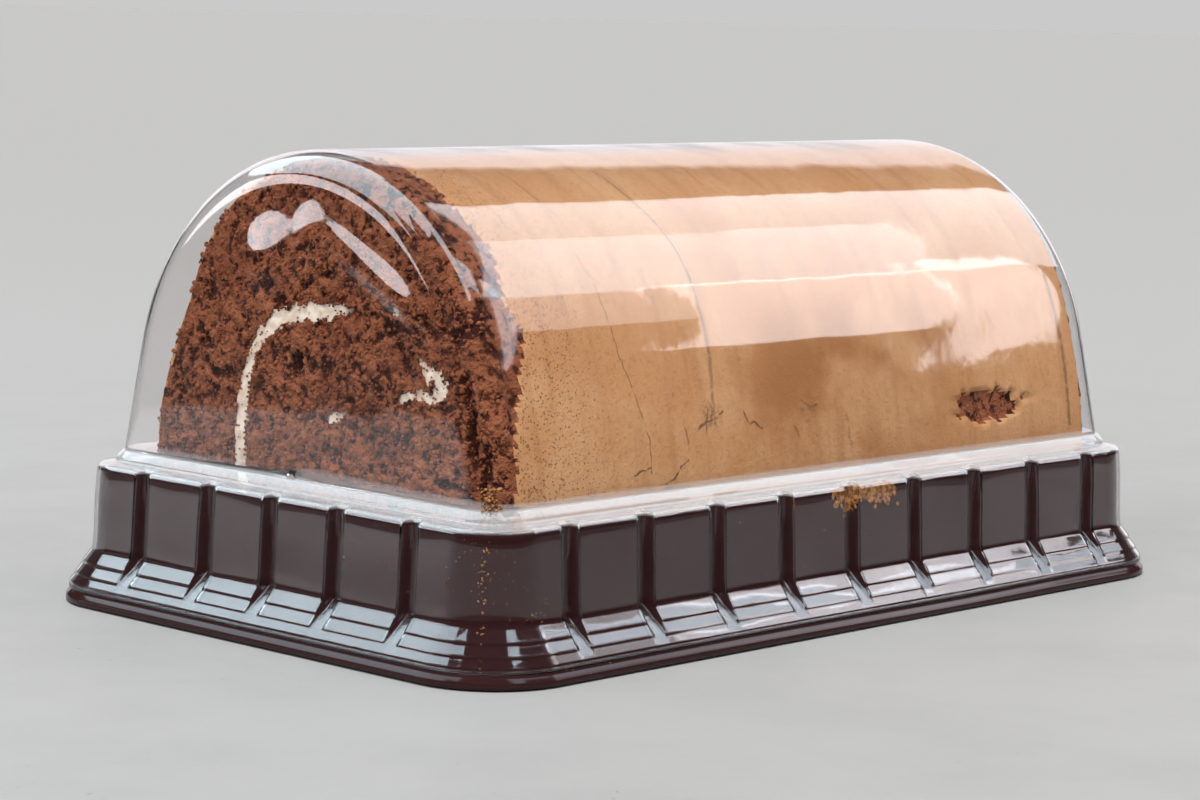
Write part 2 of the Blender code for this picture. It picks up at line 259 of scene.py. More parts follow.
def add_object(name, data, matrix=None):
    thing = bpy.data.objects.new(name, data)
    if matrix:
        thing.matrix_world = matrix
    bpy.context.scene.collection.objects.link(thing)
    return thing


def mesh_object(bm, name, materials=()):
    """Makes a bmesh an object of the scene."""
    mesh = bpy.data.meshes.new(name)
    bm.to_mesh(mesh)
    bm.free()
    for material in materials:
        mesh.materials.append(material)
    return add_object(name, mesh)


def finish_piece(bm, name, materials, replaces=None, sharp=40.0):
    """Makes a bmesh a smooth-shaded piece that rides on the part."""
    piece = mesh_object(bm, name, materials)
    piece.data.shade_smooth()
    piece.data.set_sharp_from_angle(angle=math.radians(sharp))
    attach(piece, "root")
    if replaces:
        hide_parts(replaces)
    return piece


def add_thickness(piece, thickness):
    """Gives an open sheet its thickness, inwards from its outer face."""
    sheet = piece.modifiers.new("sheet", "SOLIDIFY")
    sheet.thickness = thickness
    sheet.offset = -1.0
    sheet.use_even_offset = True


def smooth_curve(points, steps, closed=False):
    """Catmull-Rom curve through tuples of any length."""
    count = len(points)
    out = []
    for i in range(count if closed else count - 1):
        places = [(i + k) % count if closed else min(max(i + k, 0), count - 1) for k in (-1, 0, 1, 2)]
        for t in (step / steps for step in range(steps)):
            out.append(tuple(
                0.5 * (2 * b + (c - a) * t + (2 * a - 5 * b + 4 * c - d) * t * t
                       + (3 * b - a - 3 * c + d) * t ** 3)
                for a, b, c, d in zip(*(points[k] for k in places))))
    return out if closed else out + [tuple(points[-1])]


def smooth_step(value, low, high):
    share = min(max((value - low) / (high - low), 0.0), 1.0)
    return share * share * (3 - 2 * share)


# Pack

# Where a rib's groove has its points, in mm from its middle
RIB_POINTS = (0.0, 0.6, 1.0, 1.3, 1.55, 1.8, 2.05, 2.3, 2.55, 2.9)
RIB_DEPTH = 2.5
PANEL_POINTS = 4
CORNER_STEPS = 14

# The lid's outer face from the dome's foot to its rim, in mm: outwards from the skirt, height,
# depth of the ribs and rounding of the bend. The skirt leans out a little more towards its foot.
LID_PROFILE = (
    (-5.9, 33.4, 0.0, 0.0), (-5.35, 33.3, 0.0, 0.25), (-4.0, 31.85, 0.0, 0.45),
    (-3.8, 31.1, 0.0, 0.3), (-3.3, 30.85, 0.0, 0.3), (-0.03, 30.2, 1.9, 1.35),
    (0.42, 22.5, RIB_DEPTH, 1.5), (0.75, 14.5, RIB_DEPTH, 1.0), (0.93, 12.4, RIB_DEPTH, 0.35),
    (1.12, 11.4, RIB_DEPTH, 0.3), (3.0, 9.0, 1.6, 0.4), (3.12, 8.4, 1.0, 0.2),
    (4.65, 6.5, 0.4, 0.4), (4.78, 6.0, 0.1, 0.2), (5.95, 4.55, 0.0, 0.3), (6.1, 3.2, 0.0, 0.0),
)
LONGEST_SPAN = 2.5 * MM
FLANGE_WAVE = 0.35 * MM
PANEL_WAVE = 0.28 * MM


def rounded_profile(profile):
    """The profile with each bend rounded, the wide ones in more steps, as (outwards, height, rib
    depth) in metres."""
    points = [Vector(p[:3]) * MM for p in profile]
    bends = [points[0]]
    for before, here, after, row in zip(points, points[1:], points[2:], profile[1:]):
        first, last = (here + (end - here).normalized() * min(row[3] * MM, (end - here).length / 2.1)
                       for end in (before, after))
        steps = 2 + min(2, round(1.4 * row[3]))
        for t in (step / steps for step in range(steps + 1)):
            bends.append(first * (1 - t) ** 2 + here * 2 * t * (1 - t) + last * t * t)
    out = [bends[0]]
    for point in bends[1:] + points[-1:]:
        start = out[-1]
        parts = math.ceil((point - start).length / LONGEST_SPAN)
        out += [start.lerp(point, k / parts) for k in range(1, parts + 1)]
    return out


def drawn_in(profile, depth):
    """The profile moved inwards by a sheet's depth, square to itself, with no loops at tight bends."""
    out = []
    for before, point, after in zip(profile[:1] + profile, profile, profile[1:] + profile[-1:]):
        run = (after - before).xy.normalized()
        moved = Vector((point.x + run.y * depth, point.y - run.x * depth, point.z))
        if not out or (moved - out[-1]).xy.dot(run) > 0.02 * MM:
            out.append(moved)
    return out


def side_stations(ribs, end, floor, mouth, stretch):
    """Places along one side with how far into a rib each is, from 0 on a panel to 1 in the groove."""
    offsets = [p * stretch * MM for p in (*(-p for p in reversed(RIB_POINTS[1:])), *RIB_POINTS)]
    stations = []
    start = -end
    for groove in [[rib + offset for offset in offsets] for rib in ribs] + [[end]]:
        for k in range(1, PANEL_POINTS + 1):
            stations.append((start + (groove[0] - start) * (k / (PANEL_POINTS + 1)), 0.0))
        if len(groove) > 1:
            stations += [(place, 1 - smooth_step(abs(offset), floor, mouth))
                         for place, offset in zip(groove, offsets)]
        start = groove[-1]
    return stations


def plan_ring(pack, out, height, rib_depth, inset=0.0):
    """One ring round the pack, with the ribs cut in by their depth. An inset sheet has wider ribs."""
    half = (pack.skirt_length / 2 + out, pack.skirt_width / 2 + out)
    corner = max(pack.skirt_corner + out, 2 * MM)
    groove = (pack.rib_floor / 2 + inset / 2, pack.rib_mouth / 2 + inset / 2, 1 + 0.1 * inset / MM)
    outer = pack.end_rib_pitch + pack.outer_rib_pitch
    ribs = ([(i - 4) * pack.rib_pitch for i in range(9)],
            [-outer, -pack.end_rib_pitch, 0.0, pack.end_rib_pitch, outer])
    ring = []
    for turn, run in enumerate(map(Vector, ((1, 0), (0, 1), (-1, 0), (0, -1)))):
        inward = Vector((-run.y, run.x))
        middle = -inward * half[1 - turn % 2]
        end = half[turn % 2] - corner
        for place, share in side_stations(ribs[turn % 2], end, *groove):
            ring.append(middle + run * place + inward * (rib_depth * share))
        hub = middle + run * end + inward * corner
        for step in range(CORNER_STEPS + 1):
            angle = math.radians(90) * (turn - 1 + step / CORNER_STEPS)
            ring.append(hub + corner * Vector((math.cos(angle), math.sin(angle))))
    return [settle(Vector((p.x, p.y, height))) for p in ring]


def settle(point):
    """The light warp that forming and handling leave in the sheets: wavy rim, not quite flat panels."""
    low = (1 - smooth_step(point.z, 2 * MM, 7 * MM)) * smooth_step(point.z, 0.0, 2 * MM)
    wave = noise.noise(Vector((point.x * 16, point.y * 16, 4.0)))
    ripple = noise.noise(point * 70) * smooth_step(point.z, 2 * MM, 8 * MM)
    away = Vector((point.x, point.y * 1.7, 0)).normalized()
    return point + UP * (low * FLANGE_WAVE * wave) + away * (PANEL_WAVE * ripple)


# Shallow bulges of the end walls: middle across and up, half lengths along and across their own
# axis, that axis' turn from level in degrees, rise; lengths in mm
WALL_BULGES = (
    (10.0, 78.5, 5.4, 4.0, -46, 1.02), (-2.0, 83.3, 2.1, 5.5, 24, 0.64),
    (-23.9, 77.2, 10.2, 2.65, 27, 1.08), (-23.1, 78.5, 6.1, 9.0, 60, -0.7),
    (20.0, 50.0, 16.0, 14.0, 0, 0.25), (-22.0, 47.0, 12.0, 16.0, 0, -0.15),
)
NEAR_WALL_ROWS, FAR_WALL_ROWS, FILLET_ROWS, STRAIGHT_ROWS = 46, 24, 10, 12
DOME_SIDE_POINTS, DOME_TOP_POINTS = 8, 72
DOME_WAVE = 0.04 * MM


def wall_bulge(y, z):
    total = 0.0
    for middle_y, middle_z, along, across, turn, rise in WALL_BULGES:
        cosine, sine = math.cos(math.radians(turn)), math.sin(math.radians(turn))
        dy, dz = y / MM - middle_y, z / MM - middle_z
        u = (dy * cosine + dz * sine) / along
        v = (dz * cosine - dy * sine) / across
        total += rise * MM * math.exp(-(u * u + v * v) / 2)
    return total


def dome_row(pack, x, inset):
    """One row of dome points across the width, from the foot at -Y over to the foot at +Y."""
    rise = pack.dome_height - pack.dome_foot
    sine, cosine = math.sin(pack.dome_draft), math.cos(pack.dome_draft)
    radius = (pack.dome_half_width * cosine - rise * sine) / (1 - sine)
    middle = pack.dome_height - radius
    reach = radius - inset
    turn = math.pi - pack.dome_draft
    top = []
    for step in range(DOME_TOP_POINTS + 1):
        angle = turn - (math.pi - 2 * pack.dome_draft) * step / DOME_TOP_POINTS
        top.append(Vector((x, reach * math.cos(angle), middle + reach * math.sin(angle))))
    foot = Vector((x, inset / cosine - pack.dome_half_width, pack.dome_foot))
    side = [foot.lerp(top[0], step / DOME_SIDE_POINTS) for step in range(DOME_SIDE_POINTS)]
    return side + top + [Vector((p.x, -p.y, p.z)) for p in reversed(side)]


def leaned(pack, row):
    """The row with the end walls' lean, and the dome's faint waviness."""
    out = []
    for point in row:
        share = (point.z - pack.dome_foot) / (pack.dome_height - pack.dome_foot)
        shift = -math.copysign(pack.dome_lean * share, point.x)
        ripple = noise.noise(Vector((point.x * 22, point.y * 30, point.z * 30))) - 1
        away = Vector((0, point.y, point.z - 0.046)).normalized()
        out.append(point + Vector((shift, 0, 0)) + away * (DOME_WAVE * ripple * smooth_step(share, 0, 0.1)))
    return out


def end_wall_row(pack, end, share):
    """One row of an end wall, drawn in to a share of its size, with the wall's bulges."""
    foot = Vector((end * pack.dome_length / 2, 0, pack.dome_foot))
    row = []
    for point in dome_row(pack, foot.x, pack.dome_fillet):
        spot = foot + (point - foot) * share
        rise = wall_bulge(-end * spot.y, spot.z) * smooth_step(1 - share, 0.0, 0.14)
        spot.x += end * rise * smooth_step(spot.z, pack.dome_foot, pack.dome_foot + 8 * MM)
        row.append(spot)
    return leaned(pack, row)


def dome_sections(pack):
    """Rows of the dome and its end walls from one end's middle to the other's."""
    fillet = pack.dome_fillet
    straight = pack.dome_length / 2 - fillet
    bends = [math.radians(90) * (1 - step / FILLET_ROWS) for step in range(FILLET_ROWS + 1)]
    bends = [(straight + fillet * math.sin(bend), fillet * (1 - math.cos(bend))) for bend in bends]
    places = [(-x, inset) for x, inset in bends]
    places += [(straight * (step / STRAIGHT_ROWS - 1), 0.0) for step in range(1, 2 * STRAIGHT_ROWS)]
    rows = [end_wall_row(pack, -1, step / NEAR_WALL_ROWS) for step in range(1, NEAR_WALL_ROWS)]
    rows += [leaned(pack, dome_row(pack, x, inset)) for x, inset in places + bends[::-1]]
    return rows + [end_wall_row(pack, 1, step / FAR_WALL_ROWS) for step in range(FAR_WALL_ROWS - 1, 0, -1)]


class SWISSROLL_OT_lid(bpy.types.Operator):
    """Model the clear lid: dome, ledge, ribbed skirt, beaded foot and wavy rim"""
    bl_idname = "swissroll.lid"
    bl_label = "Clear Lid"

    def execute(self, context):
        pack = context.scene.swissroll_pack
        bm = bmesh.new()
        rows = dome_sections(pack)
        loft(bm, chain(bm, rows[0], closed=False), rows[1:], closed=False)
        # This closes the dome all along its foot, and the fill below closes the ledge's ring, so two
        # flat sheets that a real lid doesn't have lie across the dome's foot
        bmesh.ops.holes_fill(bm, edges=bm.edges, sides=0)
        profile = rounded_profile(LID_PROFILE)[1:]
        ring = chain(bm, plan_ring(pack, profile[0].x, profile[0].y, 0.0))
        ring_edges = [bm.edges.get((ring[i - 1], ring[i])) for i in range(len(ring))]
        bmesh.ops.triangle_fill(bm, use_beauty=True, use_dissolve=False, normal=UP, edges=ring_edges)
        loft(bm, ring, (plan_ring(pack, *point) for point in profile[1:]))
        outwards(bm, max(bm.faces, key=lambda f: f.calc_center_median().z))
        piece = finish_piece(bm, "clear_lid", [clear_pet_sheet()], "lid", sharp=50)
        add_thickness(piece, pack.lid_thickness)
        return {"FINISHED"}


class SWISSROLL_OT_tray(bpy.types.Operator):
    """Model the brown tray: floor, inner wall, rim, ribbed wall, beaded foot and edge"""
    bl_idname = "swissroll.tray"
    bl_label = "Brown Tray"

    def execute(self, context):
        pack = context.scene.swissroll_pack
        profile = [p for p in drawn_in(rounded_profile(LID_PROFILE), pack.tray_inset) if p.x > -3.2 * MM]
        rim, edge = profile[0].y / MM, pack.tray_edge / MM
        inner = ((-9.2, 0.75), (-8.2, 1.1), (-7.6, 3.0), (-6.4, rim - 1.0), (-6.1, rim - 0.2),
                 (-5.5, rim + 0.05))
        lip = ((edge - 1.2, 2.9), (edge - 0.2, 1.8), (edge, 1.4), (edge, 0.35))
        inner, lip = ([(out * MM, height * MM, 0.0) for out, height in part] for part in (inner, lip))
        rings = [plan_ring(pack, *level, pack.tray_inset) for level in (*inner, *profile, *lip)]
        bm = bmesh.new()
        ring = chain(bm, rings[0])
        floor = bm.faces.new(ring)
        loft(bm, ring, rings[1:])
        outwards(bm, floor)
        piece = finish_piece(bm, "brown_tray", [brown_tray_sheet(pack)], "tray", sharp=50)
        add_thickness(piece, pack.tray_thickness)
        return {"FINISHED"}


# The haze of the lid's folded ledge, and where it starts and ends in mm of height
LEDGE_HAZE = 0.22
LEDGE_LOW, LEDGE_HIGH = 30.4, 33.2


def clear_pet_sheet():
    """Clear PET, vacuum formed: glassy, with faint draw marks that make its reflections swim and
    a slight haze along the folded ledge.

    Light from lamps and from the cake goes straight through, as thin sheet lets it."""
    look = Look("clear_pet_sheet")
    swim = look.math("ADD", look.noise(22, 1.0), look.times(look.noise(5), 0.1))
    sheet = look.surface("#fcfbfb", 0.035, bump=(swim, 0.3, 0.4), IOR=1.48, Transmission_Weight=1.0)
    height = look.axes(look.place)["Z"]
    ledge = look.times(look.ranged(height, (LEDGE_LOW - 1) * MM, LEDGE_LOW * MM),
                       look.ranged(height, (LEDGE_HIGH + 1) * MM, LEDGE_HIGH * MM))
    haze = look.add("BsdfDiffuse", {"Color": "#e8ebee"}).outputs[0]
    through = look.add("BsdfTransparent", {"Color": "#f8f7f7"}).outputs[0]
    path = look.add("LightPath").outputs
    hazy = look.mix(look.times(ledge, LEDGE_HAZE), sheet, haze)
    inner = look.mix(path["Is Diffuse Ray"], hazy, through)
    return look.finish(look.mix(path["Is Shadow Ray"], inner, through))


def brown_tray_sheet(pack):
    """Dark brown polystyrene, vacuum formed: near black in the shade, maroon in the light, glossy
    enough to mirror the table in its panels."""
    look = Look("brown_polystyrene_sheet")
    dust = look.ranged(look.noise(0.8, 2.0, 0.7), 0.62, 0.8, 0.0, 0.3)
    tone = look.blend(dust, pack.tray_colour, "#6b4a40")
    return look.finish(look.surface(tone, 0.12, 0.25, bump=(look.noise(18, 1.0), 0.3, 0.4)))


# Roll

# The roll's outline on the cut end, as (y, z) from its bottom right corner up the side that leans
# on the lid, over the top and down
ROLL_OUTLINE = (
    (-0.038, 0.0009), (-0.050, 0.0075), (-0.0550, 0.020), (-0.0558, 0.034), (-0.0520, 0.055),
    (-0.0450, 0.0745), (-0.0325, 0.0887), (-0.0165, 0.0976), (-0.0020, 0.1002), (0.0115, 0.0975),
    (0.0235, 0.0922), (0.0318, 0.0850), (0.0375, 0.0765), (0.0412, 0.0670), (0.0462, 0.0560),
    (0.0503, 0.0440), (0.0513, 0.0330), (0.0495, 0.0180), (0.0430, 0.0068), (0.034, 0.0009),
)
ROLL_CENTRE = Vector((-0.002, 0.048))
SKIN_WAVE = 0.3 * MM
SHARP_ROUND = 1.2 * MM
CRUMBLED_ROUND = 5.5 * MM

# The cream's middle line on the cut end with its thickness, from the tail under the core, round
# the core and back into it. It is thinnest where the crumb hides it.
THIN = 0.0008
CREAM_LINE = (
    (-0.0300, 0.0120, 0.0034), (-0.0120, 0.0105, 0.0034), (0.0060, 0.0135, 0.0034),
    (0.0175, 0.0215, 0.0034), (0.0228, 0.0330, 0.0036), (0.0228, 0.0450, 0.0034),
    (0.0204, 0.0550, 0.0030), (0.0167, 0.0612, 0.0034), (0.0105, 0.0655, 0.0042),
    (0.0040, 0.0672, 0.0046), (-0.0040, 0.0680, 0.0036), (-0.0095, 0.0688, 0.0022),
    (-0.0150, 0.0694, THIN), (-0.0205, 0.0700, THIN), (-0.0242, 0.0698, 0.0024),
    (-0.0275, 0.0685, THIN), (-0.0310, 0.0662, 0.0018), (-0.0320, 0.0632, THIN),
    (-0.0322, 0.0602, 0.0026), (-0.0350, 0.0576, 0.0046), (-0.0375, 0.0550, 0.0046),
    (-0.0340, 0.0536, 0.0030), (-0.0300, 0.0533, 0.0026), (-0.0258, 0.0517, 0.0022),
    (-0.0222, 0.0502, THIN), (-0.0130, 0.0488, THIN), (-0.0092, 0.0475, 0.0018),
    (-0.0058, 0.0460, 0.0026), (-0.0014, 0.0457, THIN),
)

# How far the open crumb reaches over the side at -Y from the cut end, by height, in mm
CRUMB_REACH = ((28, 3.2), (33, 3.7), (44.6, 4.6), (52, 6.8), (60, 9.5), (66.5, 12.6), (73, 9.6),
               (84.5, 12.2), (92, 10.7), (100, 11.5))

# Deep pits in the cut end: middle across and up, half width, half height and depth, in mm
CUT_PITS = (
    (5.5, 56.6, 1.6, 2.2, 2.6), (-23.9, 66.4, 3.2, 1.8, 1.2), (-46.8, 45.9, 1.1, 4.2, 2.2),
    (-50.7, 40.8, 0.9, 4.5, 2.0), (-45.0, 55.5, 0.9, 3.0, 1.5), (-7.7, 54.2, 1.4, 1.0, 0.8),
    (31.0, 52.0, 1.5, 1.0, 0.9), (15.0, 72.0, 1.2, 1.5, 0.9), (-40.0, 36.0, 2.5, 0.8, 1.1),
)

# Torn spot in the skin, low on the side near the far end, as (x, z)
TORN_PLACE = Vector((0.0625, 0.0425))
TORN_HALF = Vector((0.0128, 0.0041))
TORN_DEPTH = 1.2 * MM

# Heights of the crumb's grains and of the skin's unevenness
GRAIN_RELIEF = 0.75 * MM
SKIN_RELIEF = 0.08 * MM
# Rings of the near and the far end, and the longest step along the skin, fine and coarse
NEAR_RINGS, FAR_RINGS = 60, 26
FINE_STEP, COARSE_STEP = 0.75 * MM, 2.9 * MM


def roll_outline(roll):
    """The roll's outline, closed and evenly spaced."""
    dense = [Vector((y, max(z, roll.bed))) for y, z in smooth_curve(ROLL_OUTLINE, 40, closed=True)]
    dense.append(dense[0])
    lengths = [0.0]
    for before, after in zip(dense, dense[1:]):
        lengths.append(lengths[-1] + (after - before).length)
    out = []
    spot = 0
    for k in range(roll.around):
        goal = lengths[-1] * k / roll.around
        while lengths[spot + 1] < goal:
            spot += 1
        part = (goal - lengths[spot]) / (lengths[spot + 1] - lengths[spot])
        out.append(dense[spot].lerp(dense[spot + 1], part))
    return out


def torn(x, z):
    """How deep inside the torn spot a place of the side is, from 0 outside to 1."""
    ragged = noise.noise(Vector((x * 380, z * 380, 3.0))) * 0.55
    away = Vector(((x - TORN_PLACE.x) / TORN_HALF.x, (z - TORN_PLACE.y) / TORN_HALF.y)).length
    return smooth_step(1.15 - away + ragged, 0.1, 0.35)


def crumb_relief(point, grain):
    """Height of the crumb's grains, with a few deeper pits, from about -1 to 1."""
    scale = 1 / grain
    rough = noise.noise(point * scale) + 0.6 * noise.noise(point * (scale * 1.9))
    pits = smooth_step(noise.noise(point * (scale * 0.33) + Vector((5, 1, 2))), 0.25, 0.6)
    return rough - 1.2 * pits


def pit_depth(point):
    """How deep the named pits are at a place of the cut end, in metres."""
    deepest = 0.0
    for y, z, half_y, half_z, depth in CUT_PITS:
        away = math.hypot((point.y / MM - y) / half_y, (point.z / MM - z) / half_z)
        if away < 1.8:
            ragged = 0.5 * noise.noise(point * 900)
            deepest = max(deepest, depth * MM * smooth_step(1.5 - away + ragged, 0.0, 0.9))
    return deepest


def rounded_in(roll, point, x):
    """How far the edge of a cut end is rounded in at a place: most where the near one has crumbled,
    over the top and down the side at -Y."""
    crumbled = smooth_step(-point.x, -14 * MM, 10 * MM) * smooth_step(point.y, 8 * MM, 22 * MM)
    ragged = 1 + 0.25 * noise.noise(Vector((x * 90, point.x * 90, point.y * 90)))
    near = (SHARP_ROUND + (CRUMBLED_ROUND - SHARP_ROUND) * crumbled) * ragged
    depth = 0.0
    for radius, way in ((near, x - roll.start), (SHARP_ROUND, roll.stop - x)):
        if way < radius:
            depth += radius - math.sqrt(max(radius ** 2 - (radius - way) ** 2, 0.0))
    return depth


def roll_ring(roll, outline, x, share=1.0):
    """One ring of the roll: the skin at a share of 1, and drawn in towards the middle on the ends."""
    ring = []
    for i, point in enumerate(outline):
        turn = 2 * math.pi * i / len(outline)
        wave = SKIN_WAVE * math.sin(3 * turn + 40 * x) * math.sin(55 * x + turn)
        inwards = (ROLL_CENTRE - point).normalized()
        spot = point + inwards * (SKIN_WAVE + wave + rounded_in(roll, point, x))
        spot = ROLL_CENTRE + (spot - ROLL_CENTRE) * share
        ring.append(Vector((x, spot.x, max(spot.y, roll.bed))))
    return ring


def roll_stations(roll):
    """Places along X of the skin's rings: fine by the cut end and the torn spot."""
    stations = [roll.start + part * MM for part in (0.12, 0.4, 0.8)]
    x = roll.start + 1.3 * MM
    while x < roll.stop - SHARP_ROUND:
        stations.append(x)
        fine = x < roll.start + 15 * MM or abs(x - TORN_PLACE.x) < 14 * MM
        x += FINE_STEP if fine else COARSE_STEP
    return stations + [roll.stop - part * SHARP_ROUND for part in (1.0, 0.6, 0.3, 0.08)]


def end_rings(roll, outline, face, rings):
    """Rings of a cut end from its rim to the middle."""
    return [roll_ring(roll, outline, face, (1 - step / rings) ** 0.88) for step in range(rings)]


class SWISSROLL_OT_sponge(bpy.types.Operator):
    """Model the rolled sponge: baked skin, torn spot and the open crumb of both ends"""
    bl_idname = "swissroll.sponge"
    bl_label = "Rolled Sponge"

    def execute(self, context):
        roll = context.scene.swissroll_roll
        outline = roll_outline(roll)
        sections = end_rings(roll, outline, roll.start, NEAR_RINGS)[::-1]
        sections += [roll_ring(roll, outline, x) for x in roll_stations(roll)]
        sections += end_rings(roll, outline, roll.stop, FAR_RINGS)
        bm = bmesh.new()
        ring = chain(bm, sections[0])
        bm.faces.new(ring)
        bm.faces.new(loft(bm, ring, sections[1:]))
        outwards(bm)
        roughen(bm, roll)
        materials = [baked_skin(roll), chocolate_crumb(roll)]
        cut_slot(finish_piece(bm, "rolled_sponge", materials, "sponge", sharp=60), roll)
        return {"FINISHED"}


def crumb_border(point):
    """How far along X the open crumb of the cut end reaches over the skin: ragged, and further over
    the top and the side at -Y, where the skin has broken away from the edge."""
    side = smooth_step(-point.y, -12 * MM, 0.0) * smooth_step(point.z, 12 * MM, 30 * MM)
    height = min(max(point.z / MM, CRUMB_REACH[0][0]), CRUMB_REACH[-1][0])
    for (low, first), (high, last) in zip(CRUMB_REACH, CRUMB_REACH[1:]):
        if low <= height <= high:
            reach = first + (last - first) * (height - low) / (high - low)
    ragged = noise.noise(Vector((0, point.y * 300, point.z * 300))) + 0.7 * noise.noise(point * 900)
    return (-0.3 + (reach + 0.3) * side + (0.35 + 0.65 * side) * ragged) * MM


def roughen(bm, roll):
    """Grains on the open crumb, light unevenness on the skin, and the ragged border between them."""
    hollow_shade = bm.verts.layers.float.new("hollow_shade")
    bm.normal_update()
    moves = {}
    for vert in bm.verts:
        point = vert.co
        way, rest = point.x - roll.start, roll.stop - point.x
        relief = crumb_relief(point, roll.grain)
        cut = 1.0 if way < 0.06 * MM else smooth_step(crumb_border(point) - way, -0.4 * MM, 0.4 * MM)
        far = 1.0 if rest < 0.06 * MM else smooth_step(
            (0.9 + 0.6 * relief) * MM - rest, -0.1 * MM, 0.5 * MM)
        tear = torn(point.x, point.z) if point.y < -0.04 else 0.0
        pit = pit_depth(point) if way < 7 * MM else 0.0
        open_crumb = max(cut, far, tear)
        over_side = smooth_step(way, CRUMBLED_ROUND * 0.6, CRUMBLED_ROUND)
        lift = GRAIN_RELIEF * relief * open_crumb * (1 - 0.5 * over_side) - TORN_DEPTH * tear - pit
        lift -= 0.7 * MM * cut * over_side
        lift += (1 - open_crumb) * SKIN_RELIEF * noise.noise(point * 160)
        if point.z < roll.bed + 0.5 * MM:
            lift = min(lift, 0.0)
        # This mask is painted shade: high where the grains sink and in the pits, and the crumb's material
        # darkens its colour by it
        vert[hollow_shade] = min(max(0.5 - 0.5 * relief + pit / MM, 0.0), 1.0) * open_crumb
        moves[vert] = vert.normal * lift, open_crumb
    for vert, (move, _) in moves.items():
        vert.co += move
    for face in bm.faces:
        face.material_index = int(sum(moves[v][1] for v in face.verts) / len(face.verts) > 0.5)


def cream_sides(grow=0.0, steps=12):
    """Left and right sides of the cream's ragged strip on the cut end."""
    line = smooth_curve(CREAM_LINE, steps)
    left, right = [], []
    for i, (y, z, thick) in enumerate(line):
        run = (Vector(line[min(i + 1, len(line) - 1)][:2]) - Vector(line[max(i - 1, 0)][:2])).normalized()
        square = Vector((-run.y, run.x))
        middle = Vector((y, z))
        rag = [1 + 0.45 * noise.noise(Vector((y * 380, z * 380, k)))
               + 0.35 * noise.noise(Vector((y * 1000, z * 1000, k))) for k in (1.0, 9.0)]
        if i in (0, len(line) - 1):
            middle += run * grow * (1 if i else -1)
        left.append(middle + square * (thick / 2 * rag[0] + grow))
        right.append(middle - square * (thick / 2 * rag[1] + grow))
    return left, right


def cream_body(start, stop, grow=0.0, across=1):
    """The cream's strip as a bmesh, extruded along the roll."""
    rows = [[Vector((start, *a.lerp(b, k / across))) for k in range(across + 1)]
            for a, b in zip(*cream_sides(grow))]
    bm = bmesh.new()
    loft(bm, chain(bm, rows[0], closed=False), rows[1:], closed=False)
    made = bmesh.ops.extrude_face_region(bm, geom=list(bm.faces))
    moved = [v for v in made["geom"] if isinstance(v, bmesh.types.BMVert)]
    bmesh.ops.translate(bm, vec=(stop - start, 0, 0), verts=moved)
    outwards(bm)
    return bm


def cut_slot(piece, roll):
    """Cuts the slot that the cream fills through the sponge."""
    bm = cream_body(roll.start - 5 * MM, roll.stop + 5 * MM, grow=0.12 * MM)
    for face in bm.faces:
        face.material_index = 1
    cutter = mesh_object(bm, "slot_cutter")
    tool = piece.modifiers.new("slot", "BOOLEAN")
    tool.operation = "DIFFERENCE"
    tool.solver = "MANIFOLD"
    tool.object = cutter
    bpy.context.view_layer.update()
    shaped = bpy.data.meshes.new_from_object(piece.evaluated_get(bpy.context.evaluated_depsgraph_get()))
    piece.modifiers.remove(tool)
    piece.data = shaped
    bpy.data.objects.remove(cutter)
    if len(shaped.polygons) < 1000:
        raise RuntimeError("the cream's slot removed the sponge")


class SWISSROLL_OT_cream(bpy.types.Operator):
    """Model the spiral of cream that runs through the roll"""
    bl_idname = "swissroll.cream"
    bl_label = "Vanilla Cream"

    def execute(self, context):
        roll = context.scene.swissroll_roll
        bm = cream_body(roll.start + 0.1 * MM, roll.stop - 0.3 * MM, across=5)
        line = smooth_curve(CREAM_LINE, 6)
        for vert in bm.verts:
            if abs(vert.co.x - roll.start) < MM:
                thick = min((math.hypot(vert.co.y - y, vert.co.z - z), thick) for y, z, thick in line)[1]
                sunk = 1 - smooth_step(thick, 0.0012, 0.0026)
                vert.co.x += 1.8 * MM * sunk + 0.5 * MM * noise.noise(vert.co * 480)
        finish_piece(bm, "vanilla_cream", [vanilla_cream(roll)], "cream")
        return {"FINISHED"}


def chocolate_crumb(roll):
    """Open chocolate sponge, torn or sawn: matte and grainy. Its colour carries painted shade in the hollows,
    pits and low grains, and painted light on the raised grains.
    """
    look = Look("chocolate_sponge_crumb")
    hollow_shade = look.add("Attribute", attribute_name="hollow_shade").outputs["Fac"]
    grains, fine = look.noise(2.2, 3.0, 0.65), look.noise(0.9, 2.0, 0.6)
    # Painted shade: how far the colour goes towards the dark crumb shade, from the hollow mask and the low
    # grains
    depth = look.math("ADD", look.ranged(hollow_shade, 0.45, 1.0), look.ranged(grains, 0.5, 0.36))
    # Painted light: lighter on the raised grains, where the bump's height is high
    tone = look.blend(look.ranged(grains, 0.5, 0.66), roll.crumb_colour, "#a86a4a")
    # Painted shade in the hollows, pits and low grains
    tone = look.blend(look.ranged(depth, 0.0, 1.0), tone, roll.crumb_painted_shade)
    # Painted light: lighter again where the fine grains rise
    tone = look.blend(look.ranged(fine, 0.55, 0.75, 0.0, 0.5), tone, "#b57a5c")
    tone = look.blend(look.ranged(look.noise(14), 0.42, 0.65, 0.0, 0.3), tone, "#5e2c1d")
    height = look.math("ADD", grains, look.times(fine, 0.4))
    return look.finish(look.surface(tone, 0.92, 0.2, bump=(height, 1.0, 1.6)))


